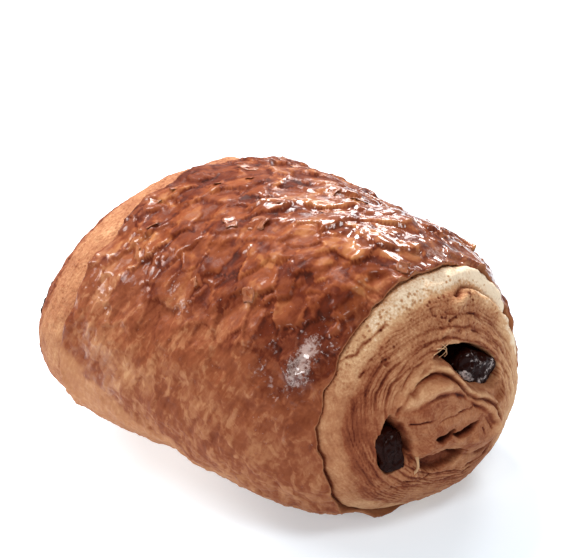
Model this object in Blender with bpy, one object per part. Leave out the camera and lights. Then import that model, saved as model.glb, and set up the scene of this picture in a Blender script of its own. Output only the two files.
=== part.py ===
"""A pain au chocolat: laminated dough rolled round two chocolate sticks and baked.

The loaf lies along X on the flat of its own base, at Z 0. The +X end is the one whose roll
bulges out most. The dough is one solid, with a tunnel for each stick that opens out into a
hollow at both ends. The frame's origin is the centre of the whole thing's box, at the base.
"""

import math

import bmesh
import bpy
import numpy as np
from mathutils import Vector, noise

MM = 0.001

# The loaf before any relief: a rounded box whose section is a D with a narrow flat below.
LENGTH = 110 * MM
HALF_WIDTH = 45.5 * MM
HEIGHT = 65.7 * MM
WIDEST_AT = 0.42  # of the height
UNDERSIDE_DEPTH = 1.12  # of the widest point's height: what falls below Z 0 becomes the flat
MIDDLE_AT = 0.40  # of the height, where both ends close
TOP_ROUNDNESS = 1.9
UNDERSIDE_ROUNDNESS = 2.14
FRONT_ROUNDNESS = 2.86
REAR_ROUNDNESS = 3.86
WIDTH_TAPER = -0.14  # share of the width that the front end gains, and the rear one loses
HEIGHT_TAPER = 0.09
LEAN = 1.2 * MM  # how far the top stands over to +Y
SKEW = 1.0 * MM  # how far the front end sits over to +Y

# Low swellings and dents: (middle on the surface, height, reach).
SWELLINGS = (
    ((-30 * MM, 24 * MM, 58 * MM), -0.8 * MM, 9 * MM),
    ((10 * MM, 28 * MM, 58.5 * MM), -2.7 * MM, 11 * MM),
    ((-5 * MM, -37 * MM, 8 * MM), -1.9 * MM, 15 * MM),
    ((-38.5 * MM, 13 * MM, 59 * MM), 1.3 * MM, 5 * MM),
    ((-41 * MM, -45 * MM, 22 * MM), 1.1 * MM, 15 * MM),
    ((49 * MM, 10 * MM, 7 * MM), 1.5 * MM, 15 * MM),
    ((48 * MM, 29 * MM, 22 * MM), 1.2 * MM, 12 * MM),
    ((40.5 * MM, 31 * MM, 42 * MM), -1.5 * MM, 6 * MM),
)

# The egg-washed outer wrap stops short of both ends in a torn lip.
FRONT_LIP = 42.7 * MM
REAR_LIP = -31.5 * MM
REAR_LIP_REACH = 3.4 * MM  # how much further in the rear lip lies low on the sides
REAR_LIP_TURNS = (15, 75)  # degrees from straight up between which it moves in
LIP_WANDER = 0.8 * MM
LIP_WANDER_SIZE = 13 * MM
WRAP_THICKNESS = 1.3 * MM
LIP_SLOPE = 1.8 * MM

# Where the bands of bare dough past the lips turn over into the layered ends, and how gently.
FRONT_END = 44 * MM
REAR_END = -43 * MM
END_SLOPE = 4.5 * MM

# Blisters and folds of the wrap.
BLISTER_SIZE = 9 * MM
BLISTER_RELIEF = 1.0 * MM
FOLD_SIZE = 6 * MM
FOLD_RELIEF = 0.5 * MM

# Edges of the dough layers round each end, from the pale band inwards.
LAYER_PITCH = 4.4 * MM
LAYER_RELIEF = 0.6 * MM
LAYER_WANDER = 1.2 * MM
LAYER_WANDER_SIZE = 11 * MM
LAYER_FADE = 0.25  # of the roll's half axes, from its outline out

# Mesh spacing along the profile, from the rear pole to the front one.
RING_POINTS = 76
REAR_SPACING = 2.7 * MM
SIDE_SPACING = 3.3 * MM
FRONT_SPACING = 1.5 * MM
FRONT_CHANGE = (25.5 * MM, 42.5 * MM)  # x between which the side's spacing becomes the end's
REAR_CHANGE = (-25.0 * MM, -38.0 * MM)

# Each chocolate stick: places of its two ends, half width, half thickness, turn about X.
STICKS = {
    "chocolate_stick_upper": {
        "front": (52.8 * MM, 10.0 * MM, 36.5 * MM),
        "rear": (-50.5 * MM, 13.5 * MM, 36.0 * MM),
        "half_width": 6.9 * MM,
        "half_thickness": 4.1 * MM,
        "front_turn": -32,
        "rear_turn": -24,
    },
    "chocolate_stick_lower": {
        "front": (52.6 * MM, -16.6 * MM, 24.8 * MM),
        "rear": (-54.0 * MM, -32.6 * MM, 30.0 * MM),
        "half_width": 5.9 * MM,
        "half_thickness": 3.7 * MM,
        "front_turn": 98,
        "rear_turn": 45,
    },
}
STICK_CLEARANCE = 0.3 * MM
STICK_SIDES = 16
STICK_SQUARENESS = 3.2
STICK_STATIONS = 15
STICK_UNEVENNESS = 0.35 * MM
UNEVENNESS_LENGTH = 7 * MM
STICK_TIP = ((0.0, 0.62), (0.8 * MM, 0.88), (2.2 * MM, 1.0))  # distance back, share of full size

# Hollows that the layers leave round the ends of the sticks: shift of the mouth's middle from
# the stick's, half width, half thickness and depth behind the mouth.
HOLLOWS = {
    "chocolate_stick_upper": {
        "front": ((-3.4 * MM, 2.6 * MM), 12.2 * MM, 6.0 * MM, 7.0 * MM),
        "rear": ((1.0 * MM, 1.0 * MM), 9.6 * MM, 6.4 * MM, 4.0 * MM),
    },
    "chocolate_stick_lower": {
        "front": ((-0.9 * MM, 2.1 * MM), 8.8 * MM, 5.6 * MM, 5.0 * MM),
        "rear": ((0.5 * MM, 0.0), 6.9 * MM, 4.7 * MM, 1.0 * MM),
    },
}

HOLLOW_MOUTH = 1.5 * MM  # behind the loaf's end
MOUTH_FLARE = 1.06  # width of a hollow's cutter where it starts, clear of the loaf
CUTTER_START = 68 * MM
HOLLOW_TAPER = 0.9  # width of a hollow at its floor
HOLLOW_SLANT = 0.5  # share of the mouth's shift that is left at the floor
HOLLOW_FLOOR = 1.2 * MM
TUNNEL_STATIONS = 13

# The inner roll between the sticks, as an ellipse on each end: middle, half axes, turn.
ROLLS = {
    "front": {"middle": (0.5 * MM, 28.5 * MM), "half_axes": (18.5 * MM, 12.6 * MM), "turn": -34},
    "rear": {"middle": (-4.0 * MM, 29.5 * MM), "half_axes": (17.0 * MM, 10.5 * MM), "turn": -22},
}
ROLL_RISE = 1.6 * MM
CREASE_DEPTH = 1.9 * MM
CREASE_WIDTH = 0.15  # of the roll's half axes
COIL_RELIEF = 0.9 * MM
COILS = 2.6  # turns of dough that show inside the roll
COIL_DRIFT = 0.3  # turns that a coil moves inwards in going once round
COIL_WANDER = 0.3
COIL_WANDER_SIZE = 9 * MM
ROLL_FADE = 0.3  # of the roll's half axes, from its outline in

CRUST_COLOUR = (0.36, 0.15, 0.055, 1.0)
CRUST_ROUGHNESS = 0.4
CHOCOLATE_COLOUR = (0.022, 0.010, 0.007, 1.0)
CHOCOLATE_ROUGHNESS = 0.35


def smooth(t):
    """0 below 0, 1 above 1, and an even curve between."""
    t = np.clip(t, 0.0, 1.0)
    return t * t * (3.0 - 2.0 * t)


def between(value, limits):
    """0 before the first limit, 1 past the second, and an even curve between."""
    return smooth((value - limits[0]) / (limits[1] - limits[0]))


def rough(points, size, seed):
    """Blender's smooth noise, -1 to 1, at points in metres, for features of this size."""
    shift = Vector((17.3 * seed, 5.1 * seed, 9.7 * seed))
    flat = points.reshape(-1, 3) / size
    values = [noise.noise(Vector(p) + shift) for p in flat]
    return np.array(values).reshape(points.shape[:-1])


def loaf_section(angles):
    """Y and Z of the widest section, for angles from +Y over the top."""
    across, up = np.cos(angles), np.sin(angles)
    widest = WIDEST_AT * HEIGHT
    over = up >= 0
    power = 2.0 / np.where(over, TOP_ROUNDNESS, UNDERSIDE_ROUNDNESS)
    reach = np.where(over, HEIGHT - widest, -UNDERSIDE_DEPTH * widest)
    y = HALF_WIDTH * np.sign(across) * np.abs(across) ** power
    z = widest + reach * np.abs(up) ** power
    return y + LEAN * z / HEIGHT, z


def loaf_profile():
    """X and relative size of the rings, evenly spaced for each part of the loaf."""
    turn = np.linspace(-math.pi / 2, math.pi / 2, 4001)
    power = 2.0 / np.where(turn > 0, FRONT_ROUNDNESS, REAR_ROUNDNESS)
    x = 0.5 * LENGTH * np.sign(turn) * np.abs(np.sin(turn)) ** power
    size = np.abs(np.cos(turn)) ** power
    steps = np.hypot(np.diff(x), np.diff(size) * HALF_WIDTH)
    middle = (x[1:] + x[:-1]) / 2
    spacing = SIDE_SPACING + (FRONT_SPACING - SIDE_SPACING) * between(middle, FRONT_CHANGE)
    spacing += (REAR_SPACING - SIDE_SPACING) * between(middle, REAR_CHANGE)
    count = np.concatenate([[0.0], np.cumsum(steps / spacing)])
    rings = int(round(count[-1]))
    wanted = np.linspace(0.0, count[-1], rings + 1)
    return np.interp(wanted, count, x), np.interp(wanted, count, size)


def loaf_grid():
    """Points of the smooth loaf, ring by ring; the first and last rings are the poles."""
    x, size = loaf_profile()
    angles = np.linspace(0.0, 2 * math.pi, RING_POINTS, endpoint=False)
    y, z = loaf_section(angles)
    along = x / (0.5 * LENGTH)
    middle = MIDDLE_AT * HEIGHT
    wide = size * (1 + WIDTH_TAPER * along)
    tall = size * (1 + HEIGHT_TAPER * along)
    grid = np.empty((len(x), RING_POINTS, 3))
    grid[..., 0] = x[:, None]
    grid[..., 1] = wide[:, None] * y + SKEW * along[:, None]
    grid[..., 2] = middle + tall[:, None] * (z - middle)
    return grid, angles


def grid_normals(grid):
    along = np.gradient(grid, axis=0)
    around = np.roll(grid, -1, axis=1) - np.roll(grid, 1, axis=1)
    normals = np.cross(around, along)
    length = np.linalg.norm(normals, axis=2, keepdims=True)
    normals /= np.maximum(length, 1e-12)
    normals[0], normals[-1] = (-1, 0, 0), (1, 0, 0)
    return normals


def roll_distance(grid, roll):
    """Distance from the roll's middle, 1 on its ellipse, and the angle round it."""
    y = grid[..., 1] - roll["middle"][0]
    z = grid[..., 2] - roll["middle"][1]
    turn = math.radians(roll["turn"])
    a = (y * math.cos(turn) + z * math.sin(turn)) / roll["half_axes"][0]
    b = (z * math.cos(turn) - y * math.sin(turn)) / roll["half_axes"][1]
    return np.hypot(a, b), np.arctan2(b, a)


def end_relief(grid, roll, seed):
    """Height of the layers, the crease and the coiled roll over the smooth end."""
    away, around = roll_distance(grid, roll)
    wander = LAYER_WANDER * rough(grid, LAYER_WANDER_SIZE, seed)
    outside = (away - 1.0) * min(roll["half_axes"]) + wander
    layers = LAYER_RELIEF * np.sin(2 * math.pi * outside / LAYER_PITCH)
    layers *= smooth((away - 1.0) / LAYER_FADE)
    crease = -CREASE_DEPTH * np.exp(-(((away - 1.0) / CREASE_WIDTH) ** 2))
    coil = COILS * (away + COIL_DRIFT * around / (2 * math.pi))
    coil += COIL_WANDER * rough(grid, COIL_WANDER_SIZE, seed + 1)
    inner = ROLL_RISE + COIL_RELIEF * np.sin(2 * math.pi * coil)
    inner *= smooth((1.0 - away) / ROLL_FADE)
    return layers + crease + inner


def swelling_relief(grid):
    relief = np.zeros(grid.shape[:2])
    for middle, height, reach in SWELLINGS:
        apart = np.linalg.norm(grid - middle, axis=2)
        relief += height * np.exp(-((apart / reach) ** 2))
    return relief


def dough_surface():
    """The loaf with its wrap, lips, blisters, layers and rolls, as a closed mesh."""
    grid, angles = loaf_grid()
    normals = grid_normals(grid)
    x = grid[..., 0]
    from_top = np.degrees(np.arccos(np.sin(angles)))
    low_down = between(from_top, REAR_LIP_TURNS)
    front_lip = FRONT_LIP + LIP_WANDER * rough(grid, LIP_WANDER_SIZE, 1)
    rear_lip = REAR_LIP + REAR_LIP_REACH * low_down + LIP_WANDER * rough(grid, LIP_WANDER_SIZE, 2)
    wrapped = smooth((front_lip - x) / LIP_SLOPE) * smooth((x - rear_lip) / LIP_SLOPE)
    blisters = BLISTER_RELIEF * rough(grid, BLISTER_SIZE, 3)
    blisters += FOLD_RELIEF * rough(grid, FOLD_SIZE, 4)
    relief = swelling_relief(grid) + wrapped * blisters - (1 - wrapped) * WRAP_THICKNESS
    on_front = smooth((x - FRONT_END) / END_SLOPE)
    on_rear = smooth((REAR_END - x) / END_SLOPE)
    relief += on_front * end_relief(grid, ROLLS["front"], 5)
    relief += on_rear * end_relief(grid, ROLLS["rear"], 8)
    grid = grid + normals * relief[..., None]
    grid[..., 2] = np.maximum(grid[..., 2], 0.0)
    return grid


def mesh_object(name, points, faces, colour, roughness):
    mesh = bpy.data.meshes.new(name)
    mesh.from_pydata([tuple(p) for p in points], [], faces)
    build = bmesh.new()
    build.from_mesh(mesh)
    bmesh.ops.recalc_face_normals(build, faces=build.faces)
    build.to_mesh(mesh)
    build.free()
    made = bpy.data.objects.new(name, mesh)
    bpy.context.scene.collection.objects.link(made)
    material = bpy.data.materials.new(name)
    material.use_nodes = True
    shader = material.node_tree.nodes["Principled BSDF"]
    shader.inputs["Base Color"].default_value = colour
    shader.inputs["Roughness"].default_value = roughness
    mesh.materials.append(material)
    return made


def rings_to_faces(rings, sides, first):
    """Quads between rings of points that follow each other from index first."""
    faces = []
    for ring in range(rings - 1):
        low = first + ring * sides
        for side in range(sides):
            after = (side + 1) % sides
            faces.append((low + side, low + after, low + sides + after, low + sides + side))
    return faces


def make_dough():
    grid = dough_surface()
    rings = len(grid) - 2
    points = [grid[0, 0], *grid[1:-1].reshape(-1, 3), grid[-1, 0]]
    faces = rings_to_faces(rings, RING_POINTS, 1)
    last = 1 + (rings - 1) * RING_POINTS
    for side in range(RING_POINTS):
        after = (side + 1) % RING_POINTS
        faces.append((0, 1 + after, 1 + side))
        faces.append((len(points) - 1, last + side, last + after))
    return mesh_object("dough", points, faces, CRUST_COLOUR, CRUST_ROUGHNESS)


def superellipse_ring(centre, half_width, half_thickness, turn, wobble=0.0, seed=0):
    """A rounded rectangle of points about centre, across X, turned about X in degrees."""
    ring = []
    cosine, sine = math.cos(math.radians(turn)), math.sin(math.radians(turn))
    for step in range(STICK_SIDES):
        angle = 2 * math.pi * step / STICK_SIDES
        c, s = math.cos(angle), math.sin(angle)
        power = 2.0 / STICK_SQUARENESS
        a = half_width * math.copysign(abs(c) ** power, c)
        b = half_thickness * math.copysign(abs(s) ** power, s)
        grow = 1.0
        if wobble:
            place = Vector((centre[0] / UNEVENNESS_LENGTH, c + seed, s))
            grow += wobble * noise.noise(place) / half_width
        y = centre[1] + grow * (a * cosine - b * sine)
        z = centre[2] + grow * (a * sine + b * cosine)
        ring.append((centre[0], y, z))
    return ring


def lofted(name, rings, colour, roughness):
    """A closed solid through rings of points, with flat ends."""
    points = [p for ring in rings for p in ring]
    faces = rings_to_faces(len(rings), STICK_SIDES, 0)
    faces.append(tuple(range(STICK_SIDES)))
    faces.append(tuple(range(len(points) - STICK_SIDES, len(points))))
    return mesh_object(name, points, faces, colour, roughness)


def along_stick(stick, share):
    """The stick's middle and turn at a share of the way from its rear end to its front."""
    rear, front = Vector(stick["rear"]), Vector(stick["front"])
    turn = stick["rear_turn"] + (stick["front_turn"] - stick["rear_turn"]) * share
    return rear.lerp(front, share), turn


def make_stick(name, seed):
    stick = STICKS[name]
    wobble = STICK_UNEVENNESS
    half_width, half_thickness = stick["half_width"] - wobble, stick["half_thickness"] - wobble
    rings = []
    for station in range(STICK_STATIONS):
        centre, turn = along_stick(stick, station / (STICK_STATIONS - 1))
        tip = [(0.0, 1.0)]
        if station == 0:
            tip = STICK_TIP
        elif station == STICK_STATIONS - 1:
            tip = [(-back, scale) for back, scale in reversed(STICK_TIP)]
        for onward, scale in tip:
            place = (centre[0] + onward, centre[1], centre[2])
            sizes = half_width * scale, half_thickness * scale
            rings.append(superellipse_ring(place, *sizes, turn, wobble, seed))
    return lofted(name, rings, CHOCOLATE_COLOUR, CHOCOLATE_ROUGHNESS)


def tunnel_ring(name, x, aside=(0.0, 0.0), half_sizes=None):
    """A ring of the tunnel's wall at x; by default it clears the stick all round."""
    stick = STICKS[name]
    if half_sizes is None:
        half_sizes = (
            stick["half_width"] + STICK_CLEARANCE,
            stick["half_thickness"] + STICK_CLEARANCE,
        )
    share = (x - stick["rear"][0]) / (stick["front"][0] - stick["rear"][0])
    middle, turn = along_stick(stick, share)
    place = (x, middle[1] + aside[0], middle[2] + aside[1])
    return superellipse_ring(place, *half_sizes, turn)


def hollow_rings(name, end, outwards):
    """Rings in through one hollow from outside, and the x where the tunnel proper starts."""
    aside, half_width, half_thickness, depth = HOLLOWS[name][end]
    mouth = outwards * (0.5 * LENGTH - HOLLOW_MOUTH)
    floor = mouth - outwards * depth
    start = outwards * CUTTER_START
    stations = ((start, MOUTH_FLARE, 1.0), (mouth, 1.0, 1.0), (floor, HOLLOW_TAPER, HOLLOW_SLANT))
    rings = []
    for x, scale, kept in stations:
        half_sizes = half_width * scale, half_thickness * scale
        shift = aside[0] * kept, aside[1] * kept
        rings.append(tunnel_ring(name, x, shift, half_sizes))
    return rings, floor - outwards * HOLLOW_FLOOR


def make_tunnel(name):
    """The cutter for a stick's tunnel, which widens into the hollow at each end."""
    rear, start = hollow_rings(name, "rear", -1)
    front, stop = hollow_rings(name, "front", 1)
    inside = [tunnel_ring(name, x) for x in np.linspace(start, stop, TUNNEL_STATIONS)]
    rings = rear + inside + front[::-1]
    cutter = lofted("cut_" + name, rings, CHOCOLATE_COLOUR, CHOCOLATE_ROUGHNESS)
    cutter.hide_render = True
    cutter.display_type = "WIRE"
    return cutter


def cut(target, cutter):
    modifier = target.modifiers.new(cutter.name, "BOOLEAN")
    modifier.operation = "DIFFERENCE"
    modifier.object = cutter
    modifier.solver = "EXACT"


def centre_on_base(objects):
    """Moves everything so that the box of what shows is centred on the origin, base down."""
    corners = [Vector(v.co) for o in objects if not o.hide_render for v in o.data.vertices]
    low = [min(c[axis] for c in corners) for axis in range(3)]
    high = [max(c[axis] for c in corners) for axis in range(3)]
    shift = Vector((-(low[0] + high[0]) / 2, -(low[1] + high[1]) / 2, -low[2]))
    for made in objects:
        for vertex in made.data.vertices:
            vertex.co += shift


def main():
    for old in list(bpy.data.objects):
        bpy.data.objects.remove(old)
    dough = make_dough()
    pieces = [dough]
    for seed, name in enumerate(STICKS):
        tunnel = make_tunnel(name)
        cut(dough, tunnel)
        pieces += [make_stick(name, seed), tunnel]
    centre_on_base(pieces)
    for made in pieces:
        made.data.shade_smooth()


main()
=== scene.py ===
"""A baked pain au chocolat: layered ends, egg-washed wrap, chocolate sticks and loose flakes."""

import math

import bmesh
import bpy
import numpy as np
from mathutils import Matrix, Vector, noise


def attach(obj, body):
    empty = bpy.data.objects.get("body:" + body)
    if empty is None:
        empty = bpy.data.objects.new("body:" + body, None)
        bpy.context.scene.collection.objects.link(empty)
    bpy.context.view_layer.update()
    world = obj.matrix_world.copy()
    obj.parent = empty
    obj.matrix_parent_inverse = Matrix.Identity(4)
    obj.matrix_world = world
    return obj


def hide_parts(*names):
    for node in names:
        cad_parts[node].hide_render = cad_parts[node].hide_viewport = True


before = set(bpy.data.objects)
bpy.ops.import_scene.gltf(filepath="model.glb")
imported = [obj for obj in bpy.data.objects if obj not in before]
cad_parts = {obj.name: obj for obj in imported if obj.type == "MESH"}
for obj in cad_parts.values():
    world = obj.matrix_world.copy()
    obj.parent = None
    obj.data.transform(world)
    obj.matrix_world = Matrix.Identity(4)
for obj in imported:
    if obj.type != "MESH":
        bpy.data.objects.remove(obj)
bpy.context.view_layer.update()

MM = 0.001


# The two ends of the dough, from under the wrap's lips to the middle of the roll.
# It is yeasted dough folded with butter and rolled out, so that baking lifts it into thin
# layers. Their cut edges run round each end and close in on the roll between the sticks.

LENGTH = 110 * MM
HALF_WIDTH = 45.5 * MM
HEIGHT = 65.7 * MM
WIDEST_AT = 0.42
UNDERSIDE_DEPTH = 1.12
MIDDLE_AT = 0.40
TOP_ROUNDNESS = 1.9
UNDERSIDE_ROUNDNESS = 2.14
END_ROUNDNESS = {1: 2.86, -1: 3.86}
WIDTH_TAPER = -0.14
HEIGHT_TAPER = 0.09
LEAN = 1.2 * MM
SKEW = 1.0 * MM
ASIDE = -0.16 * MM  # from the frame's middle to the loaf's

# Low swellings and dents: (middle on the surface, height, reach), in mm.
SWELLINGS = (
    ((-30, 24, 58), -0.8, 9),
    ((10, 28, 58.5), -2.7, 11),
    ((-5, -37, 8), -1.9, 15),
    ((-38.5, 13, 59), 1.3, 5),
    ((-41, -45, 22), 1.1, 15),
    ((49, 10, 7), 1.5, 15),
    ((48, 29, 22), 1.2, 12),
    ((40.5, 31, 42), -1.5, 6),
)
WRAP_THICKNESS = 1.3 * MM


def smooth(t):
    """0 below 0, 1 above 1, and an even curve between."""
    t = np.clip(t, 0.0, 1.0)
    return t * t * (3.0 - 2.0 * t)


def rough(points, size, seed):
    """Smooth noise, about -1 to 1, at points in metres, for features of this size."""
    shift = Vector((17.3 * seed, 5.1 * seed, 9.7 * seed))
    flat = (points / size).reshape(-1, 3)
    values = [noise.noise(Vector(p) + shift) for p in flat]
    return np.array(values).reshape(points.shape[:-1])


def roughs(points, kinds):
    """A sum of such noise, of several kinds: amount, size in mm and seed of each."""
    return sum(amount * rough(points, size * MM, seed) for amount, size, seed in kinds)


def loaf_section(angles):
    """Y and Z of the widest section, for angles from +Y over the top."""
    across, up = np.cos(angles), np.sin(angles)
    widest = WIDEST_AT * HEIGHT
    over = up >= 0
    power = 2.0 / np.where(over, TOP_ROUNDNESS, UNDERSIDE_ROUNDNESS)
    reach = np.where(over, HEIGHT - widest, -UNDERSIDE_DEPTH * widest)
    y = HALF_WIDTH * np.sign(across) * np.abs(across) ** power
    z = widest + reach * np.abs(up) ** power
    return y + LEAN * z / HEIGHT, z


def loaf_point(x, size, angles):
    """Points of the smooth loaf for x, relative size of the ring there, and angle round it."""
    y, z = loaf_section(angles)
    along = x / (0.5 * LENGTH)
    middle = MIDDLE_AT * HEIGHT
    wide = size * (1 + WIDTH_TAPER * along) * y + SKEW * along + ASIDE
    tall = middle + size * (1 + HEIGHT_TAPER * along) * (z - middle)
    return np.stack(np.broadcast_arrays(x, wide, tall), axis=-1)


def end_profile(end):
    """Distance over the surface from the end's pole, with the x and ring size there."""
    turn = np.linspace(0.0, math.pi / 2, 3000)
    power = 2.0 / END_ROUNDNESS[end]
    x = end * 0.5 * LENGTH * np.cos(turn) ** power
    size = np.sin(turn) ** power
    steps = np.hypot(np.diff(x), np.diff(size) * 0.9 * HALF_WIDTH)
    return np.concatenate([[0.0], np.cumsum(steps)]), x, size


def swelling_relief(points):
    relief = np.zeros(points.shape[:-1])
    for middle, height, reach in SWELLINGS:
        apart = np.linalg.norm(points - (0, ASIDE, 0) - np.array(middle) * MM, axis=-1)
        relief += height * MM * np.exp(-((apart / (reach * MM)) ** 2))
    return relief


def grid_normals(grid, outwards=1):
    along = np.gradient(grid, axis=0)
    around = np.roll(grid, -1, axis=1) - np.roll(grid, 1, axis=1)
    normals = outwards * np.cross(around, along)
    length = np.linalg.norm(normals, axis=2, keepdims=True)
    return normals / np.maximum(length, 1e-12)


def spline(path, closed=False, steps=8):
    """A smooth curve through a few points given in mm, as an array."""
    path = np.array(path, float) * MM
    if closed:
        path = np.concatenate([path[-1:], path, path[:2]])
    else:
        path = np.concatenate([2 * path[:1] - path[1:2], path, 2 * path[-1:] - path[-2:-1]])
    t = np.linspace(0, 1, steps, endpoint=False)[:, None]
    curve = []
    for a, b, c, d in zip(path, path[1:], path[2:], path[3:]):
        bend = 2 * a - 5 * b + 4 * c - d + t * (3 * (b - c) + d - a)
        curve.append(b + 0.5 * t * (c - a + t * bend))
    return np.concatenate(curve + [path[-2:-1]])


def distance(places, curve):
    """Distance from places, as pairs of Y and Z, to the nearest point of a curve."""
    nearest = np.full(places.shape[:-1], 1.0)
    for a, b in zip(curve, curve[1:]):
        side = b - a
        share = np.clip(((places - a) @ side) / max(side @ side, 1e-18), 0, 1)
        apart = np.linalg.norm(places - a - share[..., None] * side, axis=-1)
        nearest = np.minimum(nearest, apart)
    return nearest


def depth_inside(places, curve):
    """Distance to a closed curve, positive inside it and negative outside."""
    y, z = places[..., 0], places[..., 1]
    inside = np.zeros(y.shape, bool)
    for a, b in zip(curve, np.roll(curve, -1, axis=0)):
        if a[1] != b[1]:
            crossing = (b[0] - a[0]) * (z - a[1]) / (b[1] - a[1]) + a[0]
            inside ^= ((a[1] > z) != (b[1] > z)) & (y < crossing)
    return distance(places, np.concatenate([curve, curve[:1]])) * np.where(inside, 1, -1)


def closed_object(name, points, faces, attributes=()):
    """An object over these faces, with coincident points merged and every face outwards."""
    mesh = bpy.data.meshes.new(name)
    mesh.from_pydata(points, [], faces, shade_flat=False)
    for key, values in dict(attributes).items():
        layer = mesh.attributes.new(key, "FLOAT", "POINT")
        layer.data.foreach_set("value", values.reshape(-1).astype(np.float32))
    build = bmesh.new()
    build.from_mesh(mesh)
    bmesh.ops.remove_doubles(build, verts=build.verts, dist=1e-7)
    loose = [v for v in build.verts if not v.link_faces]
    bmesh.ops.delete(build, geom=loose, context="VERTS")
    bmesh.ops.recalc_face_normals(build, faces=build.faces)
    build.to_mesh(mesh)
    build.free()
    mesh.validate()
    made = bpy.data.objects.new(name, mesh)
    bpy.context.scene.collection.objects.link(made)
    return made


def skin(name, grid, attributes, poles=True):
    """A closed object over rings of points. With poles, the end rings are single points."""
    rings, sides = grid.shape[:2]
    index = np.arange(rings * sides).reshape(rings, sides)
    if poles:
        index[0], index[-1] = index[0, 0], index[-1, 0]
        low, high = index[:-1], index[1:]
    else:
        low, high = index, np.roll(index, -1, axis=0)
    corners = [low, np.roll(low, -1, axis=1), np.roll(high, -1, axis=1), high]
    quads = np.stack(corners, axis=-1).reshape(-1, 4)
    return closed_object(name, grid.reshape(-1, 3).tolist(), quads.tolist(), attributes)


LIP_X = {1: 40.9 * MM, -1: -32.3 * MM}
REAR_LIP_REACH = 3.0 * MM  # how much further in the rear lip lies low on the sides
REAR_LIP_TURNS = 15, 75  # degrees from straight up between which it moves in
FRONT_LIP_REACH = 2.3 * MM  # how much further out the front lip lies low on the -Y side
FRONT_LIP_LOW = 196, 20  # degrees round the loaf of that place, and its spread
LIP_WANDER = 0.5 * MM
LIP_WANDER_SIZE = 13 * MM
LIP_TEARS = ((0.6, 4.2, 31), (0.3, 1.9, 32), (0.08, 0.8, 33))  # depth, size in mm and seed


def lip_x(end, angles):
    """Where the wrap ends, for angles round the loaf."""
    low, high = REAR_LIP_TURNS
    from_top = np.degrees(np.arccos(np.sin(angles)))
    moved = REAR_LIP_REACH * smooth((from_top - low) / (high - low))
    if end > 0:
        middle, spread = FRONT_LIP_LOW
        moved = FRONT_LIP_REACH * np.exp(-(((np.degrees(angles) - middle) / spread) ** 2))
    around = loaf_point(np.full(angles.shape, LIP_X[end]), 0.85, angles)
    torn = LIP_WANDER * rough(around, LIP_WANDER_SIZE, 1 if end > 0 else 2)
    return LIP_X[end] + moved + torn + MM * roughs(around, LIP_TEARS)


END_SIDES = 620
END_RINGS = 146
ROLL_RINGS_SHARE = 0.34
END_REACH = {1: 37.5 * MM, -1: 24 * MM}
BAND_WIDTH = {1: 4.8, -1: 13}  # of the smooth bare dough next to each lip, in mm
BARE_TONE = {1: 0.405, -1: 0.52}  # on the scale of the baked colours
BAND_PALENESS = {1: 0.14, -1: 0.06}
ROLL_MIDDLE = {1: (0.5, 28.5), -1: (-4.0, 29.5)}
ROLL_HALF_AXES = {1: (18.5, 12.6), -1: (17.0, 10.5)}
ROLL_TURN = {1: -34, -1: -22}
ROLL_RISE = 1.6 * MM
CREASE_DEPTH = 1.9 * MM
COIL_RELIEF = 0.9 * MM
COILS = 2.6  # turns of dough that show inside the roll
COIL_DRIFT = 0.3  # turns that a coil moves inwards in going once round


def across_roll(places, middle, half_axes, turn):
    """Distance of places, as pairs of Y and Z, in half axes of an ellipse, and their angle."""
    side = places - np.array(middle) * MM
    cosine, sine = math.cos(math.radians(turn)), math.sin(math.radians(turn))
    a = (side[..., 0] * cosine + side[..., 1] * sine) / (half_axes[0] * MM)
    b = (side[..., 1] * cosine - side[..., 0] * sine) / (half_axes[1] * MM)
    return np.hypot(a, b), np.arctan2(b, a)


def end_grid(end):
    """Rings over one end, from its pole out to under the wrap; they follow the roll's outline."""
    angles = np.linspace(0, 2 * math.pi, END_SIDES, endpoint=False)
    far, x, size = end_profile(end)
    last = np.interp(END_REACH[end], np.abs(x)[::-1], far[::-1])
    pole = loaf_point(x[0], 0.0, angles)[:, 1:]
    reach_out = loaf_point(x[0], 1.0, angles)[:, 1:] - pole
    sizes = np.linspace(0.0, 1.0, 400)
    places = pole[:, None] + sizes[None, :, None] * reach_out[:, None]
    roll, _ = across_roll(places, ROLL_MIDDLE[end], ROLL_HALF_AXES[end], ROLL_TURN[end])
    roll_at = [np.interp(1.0, along, sizes) for along in roll]
    roll_far = np.interp(roll_at, size, far)
    t = np.linspace(0, 1, END_RINGS)
    inner = np.minimum(t / ROLL_RINGS_SHARE, 1)[:, None] * roll_far
    outer = np.clip((t - ROLL_RINGS_SHARE) / (1 - ROLL_RINGS_SHARE), 0, 1)[:, None]
    away = inner + outer * (last - roll_far)
    grid = loaf_point(np.interp(away, far, x), np.interp(away, far, size), angles[None, :])
    return grid, angles, away - roll_far


# Each family of layers: pitch and height of its steps and depth of its grooves in mm, and shift.
LAYERS = (
    (2.7, 0.62, 0.36, 1.0),
    (0.95, 0.18, 0.22, 2.0),
)
LAYER_WANDERS = ((1.6, 15, 0), (0.6, 5, 1), (0.24, 1.7, 2))  # amount, size in mm, added seed
GROOVE_WIDTH = 0.13  # of the pitch


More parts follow.
